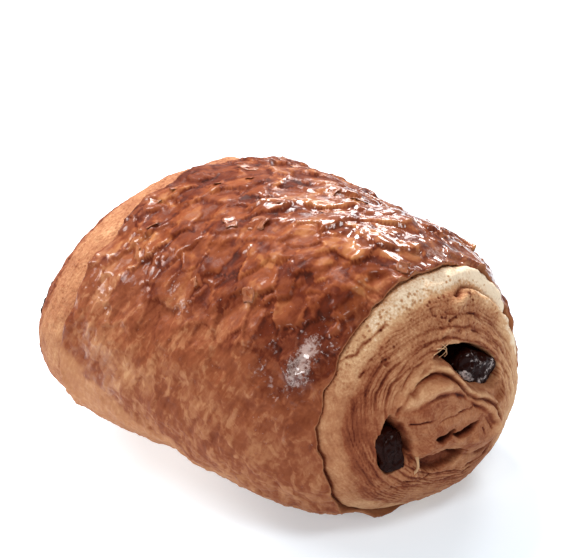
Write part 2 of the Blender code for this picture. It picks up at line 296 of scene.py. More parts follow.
def layer_relief(grid, out, seed):
    """Height of the layers' edges, how deep in a groove each point is, and the layers' wander."""
    relief, grooves = np.zeros((2, *out.shape))
    kinds = [(amount, size, seed + more) for amount, size, more in LAYER_WANDERS]
    wander = MM * roughs(grid, kinds)
    for pitch, height, depth, shift in LAYERS:
        local = pitch * MM * (1 + 0.07 * rough(grid, 18 * MM, seed + 3 + shift))
        phase = (out + wander) / local + shift
        part = phase - np.floor(phase)
        kept = 0.5 + 1.1 * rough(grid * (1, 0.6, 0.6), 6 * MM, seed + 6 + shift)
        kept = np.clip(kept, 0.05, 1.2)
        groove = np.exp(-((np.minimum(part, 1 - part) / GROOVE_WIDTH) ** 2)) * kept
        relief += MM * kept * (height * part ** 1.6) - MM * depth * groove
        grooves = np.maximum(grooves, groove * min(1.0, depth / 0.3))
    return relief, grooves, wander


# What shows on the front end, on Y and Z in mm. Each hollow: outline, depth, how far in from the
# outline its wall reaches the floor, and how much darker the floor is: stained dough and painted
# shade.
FRONT_HOLLOWS = (
    (((-5.4, 44.7), (-1.5, 46.5), (3, 45.9), (8, 44.3), (12, 41.8), (15.4, 38.3), (17.2, 34.6),
      (16.4, 31.4), (14, 30.6), (9.4, 32.6), (5.2, 34), (3.2, 36.6), (1.4, 39.2), (-1, 41.6),
      (-3.4, 43.4)), 8.5, 2.5, 0.75),
    (((-17.6, 34.6), (-20.1, 31), (-21.1, 26), (-20.2, 21.4), (-17.6, 18.7), (-14.8, 19.8),
      (-12.3, 23.5), (-13, 27.4), (-15, 31.2)), 6.5, 2.1, 0.75),
    (((14.8, 30.6), (17.4, 31.6), (19, 29), (18, 26), (15.8, 25.6), (14.2, 27.8)), 1.2, 1.3, 0.15),
    (((-10.2, 20.9), (-5, 20.5), (0, 19.7), (3.6, 18.6), (1.8, 16.4), (-1.4, 15.5), (-6, 16),
      (-9.6, 18)), 2.2, 1.1, 0.55),
    (((-7.4, 26.1), (-4.6, 26.7), (-1.5, 26.8), (-2.4, 25), (-5, 24.4)), 2.4, 0.7, 0.85),
    (((-2, 25.4), (1, 26), (5.7, 26.3), (4.8, 24.4), (2, 23.5), (-0.6, 24.2)), 2.4, 0.7, 0.85),
    (((-13.4, 22.6), (-11.6, 22.4), (-11.2, 20.8), (-12.8, 20.2)), 0.9, 0.6, 0.3),
    (((12.4, 27.4), (13.4, 27.2), (13.8, 25.6), (12.9, 25.3)), 0.9, 0.4, 0.5),
    (((-17.2, 46.6), (-15.9, 47), (-15.6, 45.8), (-16.8, 45.4)), 0.7, 0.4, 0.4),
)
ROLL_OUTLINE = (
    (-16.2, 34), (-14, 37.6), (-11.2, 41), (-7.4, 43.3), (-3.6, 43.2), (0, 40.6), (2.6, 36.8),
    (5.4, 34), (9.4, 32), (12.6, 29.6), (15.2, 26.4), (17, 22), (16.4, 17.6), (12, 15.4),
    (6, 16.2), (0, 19), (-5, 20.2), (-10.4, 20.4), (-12.4, 23), (-13.2, 27.4), (-15, 31),
)
FRONT_ROLL_RISE = 2.3  # mm over the layers round it, which it reaches this many mm inwards
FRONT_ROLL_SHOULDER = 5.0
# Ridges (height above 0) and creases (below 0) of the front end: path, half width, height.
FRONT_STROKES = (
    (((-14.4, 36.6), (-11, 40.8), (-7, 42.9), (-3.6, 42.5), (-0.4, 39.8), (2, 36.4), (5, 33.4),
      (9.4, 31.2), (12.8, 27.8), (15, 24), (16.2, 19.4)), 1.2, 1.7),
    (((-12.6, 38.6), (-9, 41.2), (-5, 41.3), (-1.4, 39), (1, 36), (4.6, 32.6), (8.6, 30.2),
      (11.8, 27.2), (13.8, 23.6), (14.4, 19.6)), 0.7, -1.9),
    (((-12.4, 36.6), (-9, 38.7), (-4.6, 38.7), (0, 37.2), (3.8, 34), (7.6, 30.4), (10.6, 26.8),
      (12.6, 22)), 1.5, 1.7),
    (((-12.4, 34.6), (-8.4, 36.4), (-3.6, 36.2), (1, 34.2), (4, 31.4), (8.4, 27.6), (10.4, 24)),
     0.7, -0.7),
    (((-13.2, 31.3), (-10.4, 31.5), (-7.4, 31.3)), 0.32, -0.6),
    (((-6.8, 29.4), (-6.4, 30.2), (-1, 30.7), (4.2, 30.3)), 0.3, -0.6),
    (((-10, 28.6), (-6, 29), (0, 28.6), (5, 28)), 0.9, 0.4),
    (((-9, 23.6), (-4, 22.9), (2, 22.2), (7, 20.8)), 1.0, 0.5),
    (((6, 27.6), (8.6, 26), (10, 22.8)), 0.35, -0.5),
    (((7, 24), (8, 21.6), (8, 19.8)), 0.3, -0.4),
    (((-10.6, 20.9), (-5, 20.5), (0.4, 19.6), (5, 17.6)), 0.4, -1.2),
    (((-11.1, 22.4), (-10.9, 19.6), (-10.7, 16.6)), 0.4, 1.3),
    (((-14.6, 15.6), (-9, 14.2), (-6.4, 15), (0, 13.6), (8, 13), (14, 14.6)), 0.35, -0.6),
    (((-16, 14), (-8, 12.2), (2, 11.4), (12, 12.6)), 0.35, -0.4),
    (((-24.6, 47), (-21, 48.8), (-17, 51.6), (-12.6, 53.6)), 0.35, -0.6),
    (((-22.4, 43.6), (-19.4, 47), (-15.8, 49.6)), 0.3, -0.5),
    (((-15.6, 42), (-12, 45.4), (-7.6, 47.6), (-4.4, 48.4)), 0.35, -0.6),
    (((-14.6, 39.6), (-11.6, 43), (-7.4, 45.2), (-4.6, 45.6)), 0.35, -0.5),
    (((-1, 48.1), (5, 48.4), (10.4, 46), (15, 41.8), (18.3, 36.6), (19.4, 31)), 0.45, -0.8),
    (((-1, 49.4), (6, 49.8), (12.4, 47.2), (17.4, 42), (20.4, 36.2), (21.2, 30)), 0.6, 0.7),
    (((2, 51.2), (9, 50.8), (15.6, 46.6), (20.2, 40.8), (22.4, 34)), 0.4, -0.8),
    (((6, 53.6), (12, 53.2), (18, 49), (22.6, 43.4), (25, 37)), 1.4, 1.6),
    (((7, 55), (13, 54.8), (19.6, 50.4), (24.6, 44.4), (27, 38)), 0.6, -1.7),
    (((8, 58), (15, 56.6), (22, 51.6), (27.4, 44.6)), 1.3, 1.5),
    (((12, 59.4), (18, 56.6), (25, 50.4), (29, 44)), 0.55, -1.3),
)
# How much paler the front end's ridges are painted: painted light on their tops.
RIDGE_PAINTED_LIGHT = 0.24
ROLL_REDNESS = 0.16
CREASE_WIDTH_KEPT = 0.62  # baking leaves these shares of a crease's width and depth
CREASE_DEPTH_KEPT = 0.75
EDGE_RAGGEDNESS = 0.34 * MM
# Each hollow of the rear end: middle on Y and Z, half axes, turn in degrees, depth in mm.
REAR_HOLLOWS = (
    ((14.2, 36.6), (8.8, 5.7), -24, 5.5),
    ((-32.2, 30.0), (5.6, 3.6), 45, 1.6),
)


def front_details(places, grid):
    """Relief, hollowing, creases and tone on the front end; the tone paints the hollows darker
    (stain and painted shade) and the ridges paler (painted light).
    """
    ridges, painted_shade_and_tone, sunk_by = np.zeros((3, *grid.shape[:2]))
    ragged = np.stack([rough(grid, 2.4 * MM, 71), rough(grid, 2.4 * MM, 72)], axis=-1)
    ragged += 0.4 * np.stack([rough(grid, 0.9 * MM, 73), rough(grid, 0.9 * MM, 74)], axis=-1)
    torn = places + EDGE_RAGGEDNESS * ragged
    broken = np.clip(0.62 + 1.1 * rough(grid, 3.0 * MM, 75), 0.12, 1.1)
    bulge = depth_inside(torn, spline(ROLL_OUTLINE, closed=True)) / MM
    relief = FRONT_ROLL_RISE * smooth(bulge / FRONT_ROLL_SHOULDER)
    relief -= 0.8 * broken * np.exp(-((bulge / 0.45) ** 2))
    creases = 0.8 * broken * np.exp(-((bulge / 0.36) ** 2))
    rolled = smooth(bulge / 3.0)
    for path, width, height in FRONT_STROKES:
        half = width * (CREASE_WIDTH_KEPT if height < 0 else 1.0)
        near = np.exp(-((distance(torn, spline(path)) / (half * MM)) ** 2))
        near *= broken if abs(height) < 1.5 else 0.6 + 0.4 * broken
        relief += height * near * (CREASE_DEPTH_KEPT if height < 0 else 1.0)
        creases = np.maximum(creases, near * (height < 0))
        ridges = np.maximum(ridges, near * max(height, 0))
    for outline, depth, slope, tone in FRONT_HOLLOWS:
        within = depth_inside(torn, spline(outline, closed=True)) / MM
        sunk = smooth((within + 0.2) / slope)
        sunk_by = np.maximum(sunk_by, sunk * depth)
        # The hollow floors are painted darker: partly chocolate-stained dough, partly painted
        # shade.
        painted_shade_and_tone = np.maximum(painted_shade_and_tone, tone * sunk)
    # Ridges painted paler are painted light; the hollows' darkening is stain and painted shade.
    tone = painted_shade_and_tone + ROLL_REDNESS * rolled - RIDGE_PAINTED_LIGHT * ridges * (1 - painted_shade_and_tone)
    return relief * MM, sunk_by * MM, creases, tone


BAND_RISE = 0.25 * MM
BAND_GROOVE = 0.5 * MM, 0.8 * MM  # depth and half width of the groove along the band
# The groove right under the lip is also painted darker in make_end, as painted shade.
TUCK = 0.5 * MM, 0.55 * MM  # depth and half width of the groove right under the lip
PALE_SAND_AND_LIGHT_REACH = 3.2, 6.8  # mm past the front lip between which the pale sand and the painted light on faces that turn up fade out
GRAINS = ((0.28, 3.2, 51), (0.14, 1.1, 52))  # height and size in mm, and seed
PIT_SPACING = 1.5 * MM
PIT_DEPTH = 0.38 * MM
COIL_WANDER = 0.3  # turns, over lumps of this size
COIL_WANDER_SIZE = 9 * MM
FOOT_HEIGHT = 0.25 * MM
# The rings that close the end inside the loaf: x in mm, counted towards the end, and ring size.
CLOSING_RINGS = ((20, 0.9), (0.2, 0.9), (0.2, 0.0))
CLOSING_HEIGHT = 3 * MM  # over the floor, at least
INSIDE_TONE = 0.4


def make_end(end):
    """One bare end: rings over its face, tucked under the wrap's lip and closed inside the loaf."""
    grid, angles, out = end_grid(end)
    normals = grid_normals(grid, -end)
    normals[0] = end, 0, 0
    seed = 41 if end > 0 else 61

    # Layers, the bare band next to the lip, sand-like grains on top, and pits.
    past_lip = end * (grid[..., 0] - lip_x(end, angles))
    layers, grooves, wander = layer_relief(grid, out, seed)
    from_band = past_lip - (BAND_WIDTH[end] + 1.0 * rough(grid, 7 * MM, seed + 11)) * MM
    tucked = np.exp(-((past_lip / TUCK[1]) ** 2))
    band = 1 - smooth(from_band / (1.6 * MM))
    upward = np.clip(normals[..., 2], 0, 1)
    sandy = smooth((upward - 0.2) / 0.35) * (1 - 0.4 * np.abs(normals[..., 1]))
    near, far = PALE_SAND_AND_LIGHT_REACH
    # Faces that turn up near the front lip are painted paler: pale sand, and painted light as from
    # above.
    pale_sand_and_top_light = sandy * smooth((far - past_lip / MM) / (far - near)) * (end > 0)
    amount = smooth(out / (1.5 * MM)) * (1 - 0.96 * band) * (1 - 0.6 * sandy)
    layers, grooves = layers * amount, grooves * amount
    relief = swelling_relief(grid) - WRAP_THICKNESS + layers + BAND_RISE * band - TUCK[0] * tucked
    relief -= BAND_GROOVE[0] * np.exp(-((from_band / BAND_GROOVE[1]) ** 2))
    relief += MM * roughs(grid, GRAINS)
    pits = np.array([noise.voronoi(Vector(p))[0][0] for p in (grid / PIT_SPACING).reshape(-1, 3)])
    pits = smooth(1 - pits.reshape(out.shape) / 0.34) * smooth(0.3 + 2.0 * rough(grid, 5 * MM, 56))
    pits *= 0.35 + 0.65 * sandy
    relief -= PIT_DEPTH * pits

    # What each end shows at its roll and the hollows beside it.
    places = grid[..., 1:] - (ASIDE, 0)
    if end > 0:
        details, sunk, creases, painted_shade_and_tone = front_details(places, grid)
        relief += details
    else:
        away, around = across_roll(places, ROLL_MIDDLE[end], ROLL_HALF_AXES[end], ROLL_TURN[end])
        coil = COILS * (away + COIL_DRIFT * around / (2 * math.pi))
        coil += COIL_WANDER * rough(grid, COIL_WANDER_SIZE, 9)
        wave = np.sin(2 * math.pi * coil)
        rising = smooth((1 - away) / 0.3)
        crease = np.exp(-(((away - 1) / 0.1) ** 2))
        relief += (ROLL_RISE + COIL_RELIEF * wave) * rising - CREASE_DEPTH * crease
        creases, painted_shade_and_tone, sunk = 0.9 * crease + 0.6 * rising * smooth(-wave), *np.zeros((2, *out.shape))
        for middle, half_axes, turn, depth in REAR_HOLLOWS:
            near, _ = across_roll(places, middle, half_axes, turn)
            within = smooth((1.12 - near) / 0.25)
            sunk = np.maximum(sunk, within * depth * MM)
            # The rear hollows are painted darker: partly stained dough, partly painted shade.
            painted_shade_and_tone = np.maximum(painted_shade_and_tone, 0.8 * within)
    grooves = np.maximum(grooves, creases)
    grid = grid + normals * relief[..., None]
    grid[..., 0] -= end * sunk
    foot = FOOT_HEIGHT * (1 + 0.4 * rough(grid, 3 * MM, 53))
    grid[..., 2] = np.maximum(grid[..., 2], foot)

    # How brown it is, with painted shade and painted light in it, and how it closes inside the
    # loaf.
    brown = BARE_TONE[end] + roughs(grid, ((0.10, 8, 54), (0.09, 2.2, 55)))
    leftwards = smooth((-grid[..., 1] - 12 * MM) / (14 * MM)) * (end > 0)
    # Painted light: the right side of the front end is painted paler, as if lit from the right.
    painted_light_rightwards = smooth((grid[..., 1] - 12 * MM) / (14 * MM))
    rim = smooth((from_band + 1 * MM) / (2 * MM)) * smooth((13 * MM - from_band) / (6 * MM))
    brown += rim * (0.06 + 0.18 * leftwards) - 0.22 * painted_light_rightwards + 0.13 * band * leftwards
    # Painted shade: faces that turn down are painted darker. Painted light: faces that turn up near
    # the front lip are painted paler.
    brown += 0.12 * smooth(0.2 - upward) - 0.20 * pale_sand_and_top_light
    brown -= BAND_PALENESS[end] * band
    # Painted shade: grooves, creases, hollows, pits and the tuck under the lip are painted darker.
    # Painted light: raised layer edges are painted paler.
    brown += 0.42 * grooves + 0.56 * painted_shade_and_tone + 0.2 * pits - 0.25 * layers / MM + 0.35 * tucked
    ends = {"brown": brown, "groove": np.clip(np.maximum(grooves, painted_shade_and_tone), 0, 1),
            "strata": out + wander, "sandy": sandy * (1 - 0.5 * band) + 0.5 * pale_sand_and_top_light}
    closing = [grid]
    for x_back, size in CLOSING_RINGS:
        back = loaf_point(np.full(END_SIDES, end * x_back * MM), size, angles)
        back[..., 2] = np.maximum(back[..., 2], CLOSING_HEIGHT)
        closing.append(back[None])
    rows = np.full((len(CLOSING_RINGS), END_SIDES), INSIDE_TONE)
    ends = {key: np.concatenate([values, rows]) for key, values in ends.items()}
    return skin("front_layers" if end > 0 else "rear_layers", np.concatenate(closing), ends)


def connect(node, **sockets):
    """Gives a node's sockets wires or values, by name, or as i0, i1 and so on by place."""
    for key, value in sockets.items():
        by_place = key[0] == "i" and key[1:].isdigit()
        target = node.inputs[int(key[1:]) if by_place else key.replace("_", " ")]
        if isinstance(value, Wire):
            value.tree.links.new(value.socket, target)
        else:
            target.default_value = value


class Wire:
    """A socket in a node tree. Sums on it add the Math nodes that work them out."""

    def __init__(self, tree, socket=None):
        self.tree, self.socket = tree, socket

    def node(self, kind, settings=(), out=0, **sockets):
        """A new node's output. The settings may hold a colour ramp's stops."""
        made = self.tree.nodes.new(kind if "Node" in kind else "ShaderNode" + kind)
        for key, value in dict(settings).items():
            if key == "stops":
                ramp = made.color_ramp
                while len(ramp.elements) < len(value):
                    ramp.elements.new(0.5)
                for element, (place, colour) in zip(ramp.elements, value):
                    element.position, element.color = place, (*colour, 1.0)
            else:
                setattr(made, key, value)
        connect(made, **sockets)
        return Wire(self.tree, made.outputs[out])

    def beside(self, name):
        """Another output of the node that this wire leaves."""
        return Wire(self.tree, self.socket.node.outputs[name])

    def sum(self, operation, first, second):
        return self.node("Math", {"operation": operation}, i0=first, i1=second)

    def __add__(self, other):
        return self.sum("ADD", self, other)

    def __sub__(self, other):
        return self.sum("SUBTRACT", self, other)

    def __rsub__(self, other):
        return self.sum("SUBTRACT", other, self)

    def __mul__(self, other):
        return self.sum("MULTIPLY", self, other)

    __radd__, __rmul__ = __add__, __mul__

    def step(self, low, high):
        """0 up to low, 1 from high on, and a smooth rise between."""
        kind = {"interpolation_type": "SMOOTHSTEP"}
        return self.node("MapRange", kind, Value=self, From_Min=low, From_Max=high)

    def blend(self, first, second):
        """A mix of two colours, by this value."""
        return self.node("Mix", {"data_type": "RGBA"}, out=2, i0=self, i6=first, i7=second)

    def stretch(self, along_x, along_y, along_z):
        """These coordinates, each times its own factor."""
        factors = along_x, along_y, along_z
        return self.node("VectorMath", {"operation": "MULTIPLY"}, i0=self, i1=factors)

    def grain(self, scale, detail=3.0, roughness=0.55):
        """Noise from 0 to 1, at this many features a metre."""
        return self.node("TexNoise", Vector=self, Scale=scale, Detail=detail, Roughness=roughness)

    def attribute(self, name):
        return self.node("Attribute", {"attribute_name": name}, out="Fac")

    def bump(self, strength, height):
        return self.node("Bump", Height=self, Strength=strength, Distance=height)


def new_material(name):
    """A material, a wire with the places on the object, and the Principled shader."""
    material = bpy.data.materials.new(name)
    material.use_nodes = True
    place = Wire(material.node_tree).node("TexCoord", out="Object")
    return material, place, material.node_tree.nodes["Principled BSDF"]


# Colours of baked dough, from where it stayed pale to where it is nearly burnt.
BAKED = (
    (0.00, (0.86, 0.69, 0.50)),
    (0.20, (0.61, 0.355, 0.185)),
    (0.42, (0.395, 0.170, 0.078)),
    (0.62, (0.225, 0.061, 0.024)),
    (0.82, (0.105, 0.018, 0.006)),
    (1.00, (0.028, 0.005, 0.0025)),
)


def layers_finish():
    material, place, shader = new_material("baked_layers")
    groove, strata = place.attribute("groove"), place.attribute("strata")
    along = place.node("SeparateXYZ", Vector=place)
    across, up = along.beside("Y"), along.beside("Z")
    sheets = place.node("CombineXYZ", X=strata * 7 + along * 0.6, Y=across, Z=up)
    sheets = sheets.grain(300, 4.0, 0.6)
    sand = place.grain(1700, 4.0)
    patch = place.grain(150, 3.0)
    sandy = place.attribute("sandy")
    cells = place.node("TexVoronoi", Vector=place, Scale=820)
    pits = (1 - cells.step(0.12, 0.42)) * sandy * place.grain(260, 2.0).step(0.42, 0.6)
    tone = place.attribute("brown") + (patch - 0.5) * 0.20 + (sand - 0.5) * (0.26 + sandy * 0.34)
    # The pits are painted darker here, as painted shade.
    tone = tone + (sheets - 0.5) * 0.26 * (1 - groove) * (1 - sandy * 0.6) + pits * 0.34
    colour = tone.node("ValToRGB", {"stops": BAKED}, Fac=tone)
    height = sand * (0.6 + sandy * 0.8) + sheets * 0.5 - pits * 1.4
    connect(shader, Base_Color=colour, Roughness=0.65 + sand * 0.2, Specular_IOR_Level=0.12,
            Normal=height.bump(0.6, 0.45 * MM))
    return material


baked_layers = layers_finish()
for end in (1, -1):
    layers = make_end(end)
    layers.data.materials.append(baked_layers)
    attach(layers, "root")
    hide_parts("dough")


# The outer wrap of dough, which stops short of both ends in a torn lip.
# It was brushed with egg before baking, so it is browned and glossy, and its top layers
# have blistered and lifted into overlapping flakes.

WRAP_SIDES = 620
WRAP_RINGS = 148
BLISTERS = ((1.0, 9, 3), (0.5, 6, 4))  # height and size in mm, and seed
PLATE_SIZE = 6.0 * MM
PLATE_RELIEF = 0.5 * MM
PLATE_RISE = Vector((0.8, -0.75, -0.8))  # the way most plates rise, to their free edges
RIM_HEIGHT = 0.22 * MM
SCALE_SIZE = 2.6 * MM
SCALE_RELIEF = 0.13 * MM
# Where the lips' edges curl up: end, angle in degrees, height, reach over the edge in mm.
CURLS = ((1, 104, 2.0, 2.6), (1, 96, 1.3, 1.6), (1, 84, 0.8, 2.4), (1, 70, 0.6, 3.0),
         (1, 52, 0.8, 4.0), (1, 20, 0.6, 5.0), (-1, 118, 0.7, 3.0), (-1, 96, 0.7, 3.0),
         (-1, 60, 0.7, 4.0), (-1, 140, 0.4, 4.0))
CURL_DEPTH = 2.2 * MM
GLAZED_TO = 85, 0.85  # degrees from straight up at the rear lip, and how many more for each mm
# Flakes that lie on the wrap and rise to one raised edge, in mm: where each starts, how far it
# runs to that edge, half width and height.
FLAPS = (
    ((-30, 7, 62), (7.4, 6.6, 0), 3.4, 1.3),
    ((19, 15, 64), (-4.5, 1.5, 0), 2.6, 1.2),
    ((33, 1, 64), (-7, -7, 0), 3.6, 0.8),
    ((-3, 8, 65), (-6, -3, 0), 3.0, 0.8),
    ((2, -7, 65), (-5, -1, 0), 2.6, 0.8),
    ((12, 20, 62), (7, 7, -2), 3.2, 0.8),
    ((-16, -4, 65), (-4, -5, 0), 2.8, 0.7),
    ((34, -8, 60), (1.5, -6, -3), 3.0, 0.8),
    ((26, 24, 57), (6, 5, -3), 3.0, 0.9),
    ((10, -14, 62), (-3, -6, -3), 2.8, 0.6),
    ((-28, -12, 60), (-2, -6, -3), 2.6, 0.6),
)
# Where a grey-white sheen is painted on the cracked glaze as a reflection of the light: x in mm,
# degrees, reach in both, and amount.
PAINTED_SHEEN_PATCHES = ((35.3, 151, 2.6, 8, 1.0), (35.0, 142, 1.9, 5, 0.9), (-3.5, 141, 1.4, 3, 0.75),
           (1.5, 145, 1.7, 3, 0.75), (27, 156, 1.2, 4, 0.6), (37.6, 76, 2.6, 9, 0.7),
           (36.6, 60, 2.4, 8, 0.55), (17, 76, 8, 4.5, 0.4))
FLAP_EDGE = 0.14  # of a flake's run, over which its edge drops
# The way over the front lip, back inside the wrap and out at the rear lip: share of the length
# from the rear lip, depth under the smooth loaf and distance past the lip, in mm.
LIP_PROFILE = ((1, 0.35, 0.35), (1, 0.75, 0.35), (1, 1.3, -0.3), (0.95, 5, 0), (0.5, 5, 0),
               (0.05, 5, 0), (0, 1.3, 0.3), (0, 0.75, -0.35), (0, 0.35, -0.35))
STREAK_WAY = (0.68, 0.73, 0.0)  # the level way along which the plates are drawn out
UNDERSIDE_GRAIN = 0.12 * MM
WARP_SEED = 1795491391
noise.seed_set(WARP_SEED)  # noise_vector, which warps the plates, starts from the clock without it


def ring_size(x):
    """Relative size of the loaf's ring at x."""
    power = np.where(x > 0, END_ROUNDNESS[1], END_ROUNDNESS[-1])
    return np.clip(1 - np.abs(x / (0.5 * LENGTH)) ** power, 0, 1) ** (1 / power)


def plates(points, seed):
    """Tilted plates with ragged outlines: height, a tone for each, painted shade at its low edges,
    and its high edges.
    """
    shift = Vector((3.7 * seed, 8.9 * seed, 1.3 * seed))
    made = []
    for p in points.reshape(-1, 3):
        here = Vector(p) + shift
        here += 0.42 * noise.noise_vector(here * 1.3) + 0.16 * noise.noise_vector(here * 3.3)
        (near, next_near, *_), (centre, other, *_) = noise.voronoi(here)
        first, second = noise.cell_vector(centre * 5.3), noise.cell_vector(other * 5.3)
        one = first.x - 0.5 + (here - centre).dot(2 * first - Vector((1, 1, 1)) + PLATE_RISE)
        two = second.x - 0.5 + (here - other).dot(2 * second - Vector((1, 1, 1)) + PLATE_RISE)
        share = 0.5 + 0.5 * min(1.0, (next_near - near) / 0.22)
        rim = math.exp(-(((next_near - near - 0.14) / 0.12) ** 2)) * (one > two)
        shaded_gap = math.exp(-(((next_near - near - 0.08) / 0.14) ** 2)) * (one < two)
        made.append((share * one + (1 - share) * two, first.y, shaded_gap, rim))
    return np.moveaxis(np.array(made).reshape(*points.shape[:-1], 4), -1, 0)


def between_turns(degrees, low, high, soft):
    """1 between two angles in degrees, fading outside them."""
    return smooth((degrees - low) / soft + 1) * smooth((high - degrees) / soft + 1)


def flap_relief(points):
    """Height of the flakes in mm, and how near each point is to one's raised edge."""
    ragged = np.stack([rough(points, 2.6 * MM, seed) for seed in (21, 22, 23)], axis=-1)
    relief, edges = np.zeros((2, *points.shape[:-1]))
    for start, run, half_width, height in FLAPS:
        run = np.array(run) * MM
        away = points + 0.8 * MM * ragged - (0, ASIDE, 0) - np.array(start) * MM
        share = (away @ run) / (run @ run)
        aside = np.linalg.norm(away - share[..., None] * run, axis=-1) / (half_width * MM)
        lying = np.exp(-(aside ** 4)) * np.clip(share, 0, None) ** 1.3
        relief = np.maximum(relief, height * lying * smooth((1 - share) / FLAP_EDGE + 0.5))
        edges += np.exp(-(((share - 0.95) / FLAP_EDGE) ** 2) - aside ** 4)
    return relief, np.clip(edges, 0, 1)


def make_wrap():
    """The wrap's outside from lip to lip, its two edges, and a way back inside."""
    angles = np.linspace(0, 2 * math.pi, WRAP_SIDES, endpoint=False)
    degrees = (np.degrees(angles)[None, :] + 90) % 360 - 90  # the seam lies underneath
    front, rear = lip_x(1, angles), lip_x(-1, angles)
    x = rear + np.linspace(0, 1, WRAP_RINGS)[:, None] * (front - rear)
    along = x / MM
    grid = loaf_point(x, ring_size(x), angles[None, :])
    normals = grid_normals(grid)
    relief = swelling_relief(grid) + MM * roughs(grid, BLISTERS)

    # Plates and small scales of crust, flakes over them, and dough drawn out in streaks.
    on_top = between_turns(degrees, 30, 125, 40)
    side = smooth((degrees - 100) / 30)
    streak = (grid @ np.array(STREAK_WAY))[..., None] * STREAK_WAY
    leaning, upright = grid - 0.35 * streak, grid * (1.15, 0.7, 0.7)
    turned = plates(leaning / PLATE_SIZE, 5) * (1 - side) + plates(upright / PLATE_SIZE, 5) * side
    lift, tone, shaded_gap, rim = turned
    small, small_tone, _, small_rim = plates(grid * (1.0, 0.8, 0.8) / SCALE_SIZE, 6)
    flaky = 0.30 + 0.70 * on_top
    patch = np.zeros(x.shape)
    for place, at, reach, spread, strength in PAINTED_SHEEN_PATCHES:
        away = ((along - place) / reach) ** 2 + ((degrees - at) / spread) ** 2
        patch += strength * np.exp(-away)
    round_patch = np.exp(-(((along - 34) / 8) ** 2) - (((degrees - 148) / 20) ** 2))
    flaps, flap_edges = flap_relief(grid)
    relief += PLATE_RELIEF * lift * flaky + RIM_HEIGHT * rim * flaky + MM * flaps
    relief += (SCALE_RELIEF * small + 0.07 * MM * small_rim) * (1 - 0.4 * on_top)
    drawn_out = np.array([[1, 0, -0.45], [0, 0.25, 0], [0, 0, 0.25]])
    streaks = rough(grid @ drawn_out.T, 1.3 * MM, 7)
    relief += 0.22 * MM * streaks * (1 - 0.8 * on_top)
    relief += 0.06 * MM * rough(grid, 1.0 * MM, 8) * (1 - 0.6 * on_top)

    # The lips' curled edges, and the flat underside.
    for end, at, height, reach in CURLS:
        aside = np.radians((degrees - at + 180) % 360 - 180) * HALF_WIDTH
        from_lip = end * ((front if end > 0 else rear) - x)
        local = np.exp(-((aside / (reach * MM)) ** 2) - from_lip / CURL_DEPTH)
        relief += height * MM * local * (1 + 0.5 * rough(grid, 1.6 * MM, 13))
    to_lip = np.minimum(front - x, x - rear)
    relief += 0.5 * MM * np.clip(rough(grid, 5 * MM, 9) + 0.2, 0, 1) * np.exp(-to_lip / (1.5 * MM))
    outer = grid + normals * relief[..., None]
    floor = np.maximum(0, UNDERSIDE_GRAIN * rough(grid, 4 * MM, 10))
    outer[..., 2] = np.where(outer[..., 2] < 0.3 * MM, floor, outer[..., 2])

    # How brown it is, where the egg wash ends, and where it shines.
    from_top = np.degrees(np.arccos(np.sin(angles)))[None, :]
    glazed_to = GLAZED_TO[0] + (along - LIP_X[-1] / MM) * GLAZED_TO[1]
    glazed_to += roughs(grid, ((6, 9, 15), (6, 3, 16)))
    glazed = smooth((glazed_to - from_top) / 5)
    dark = between_turns(degrees, 96, 138, 18) * between_turns(along, -8, 44, 18)
    left = smooth((-2 - along) / 14) * smooth((degrees - 118) / 14)
    low = smooth((from_top - 68) / 20)
    brown = 0.59 + 0.04 * dark + 0.06 * on_top + 0.16 * round_patch - 0.03 * low
    brown += 0.12 * np.exp(-(x - rear) / (4 * MM)) - 0.03 * left
    brown += roughs(grid, ((0.08, 12, 11), (0.05, 4, 12)))
    brown += 0.2 * (tone - 0.5) * flaky + 0.06 * (small_tone - 0.5) * flaky
    # Painted shade: the gap under each raised plate edge is painted darker.
    brown += 0.13 * shaded_gap * flaky - 0.08 * rim * flaky - 0.03 * small_rim
    brown -= 0.07 * streaks * (1 - 0.7 * on_top) + 0.12 * flap_edges
    bare = 0.42 + 0.05 * rough(grid, 5 * MM, 17) + 0.12 * smooth(1 - outer[..., 2] / (4 * MM))
    brown = bare + glazed * (brown - bare)
    gloss = 0.03 + 0.66 * between_turns(degrees, 35, 96, 14) * smooth((along + 20) / 36)
    gloss += 0.35 * round_patch + 0.4 * patch + 0.14 * rough(grid, 5 * MM, 14)
    gloss += 0.36 * rim * flaky + 0.36 * left + 0.14 * smooth(streaks) * side
    gloss = (gloss + 0.5 * flap_edges) * glazed
    spread = between_turns(degrees, 40, 125, 25) * smooth(to_lip / (4 * MM))

    # Over the front lip, back inside and out at the rear lip.
    rings, data = [outer], {"brown": [brown], "gloss": [gloss], "flaky": [spread]}
    data["glazed"], data["veil"] = [glazed * np.ones(x.shape)], [patch * glazed]
    for share, depth, inset in LIP_PROFILE:
        x_in = rear + share * (front - rear)
        ring = loaf_point(x_in, ring_size(x_in), angles)
        index = int(round(share * (WRAP_RINGS - 1)))
        follows = relief[index] * (share in (0, 1)) * (depth < 1)
        ring = ring + normals[index] * (follows - depth * MM)[:, None]
        ring[..., 0] += inset * MM
        ring[..., 2] = np.maximum(ring[..., 2], min(depth, 0.6) * MM)
        rings.append(ring[None])
        data["brown"].append(np.full((1, WRAP_SIDES), 0.5))
        for key in ("gloss", "flaky", "glazed", "veil"):
            data[key].append(np.zeros((1, WRAP_SIDES)))
    data = {key: np.concatenate(values) for key, values in data.items()}
    return skin("crust_wrap", np.concatenate(rings), data, poles=False)


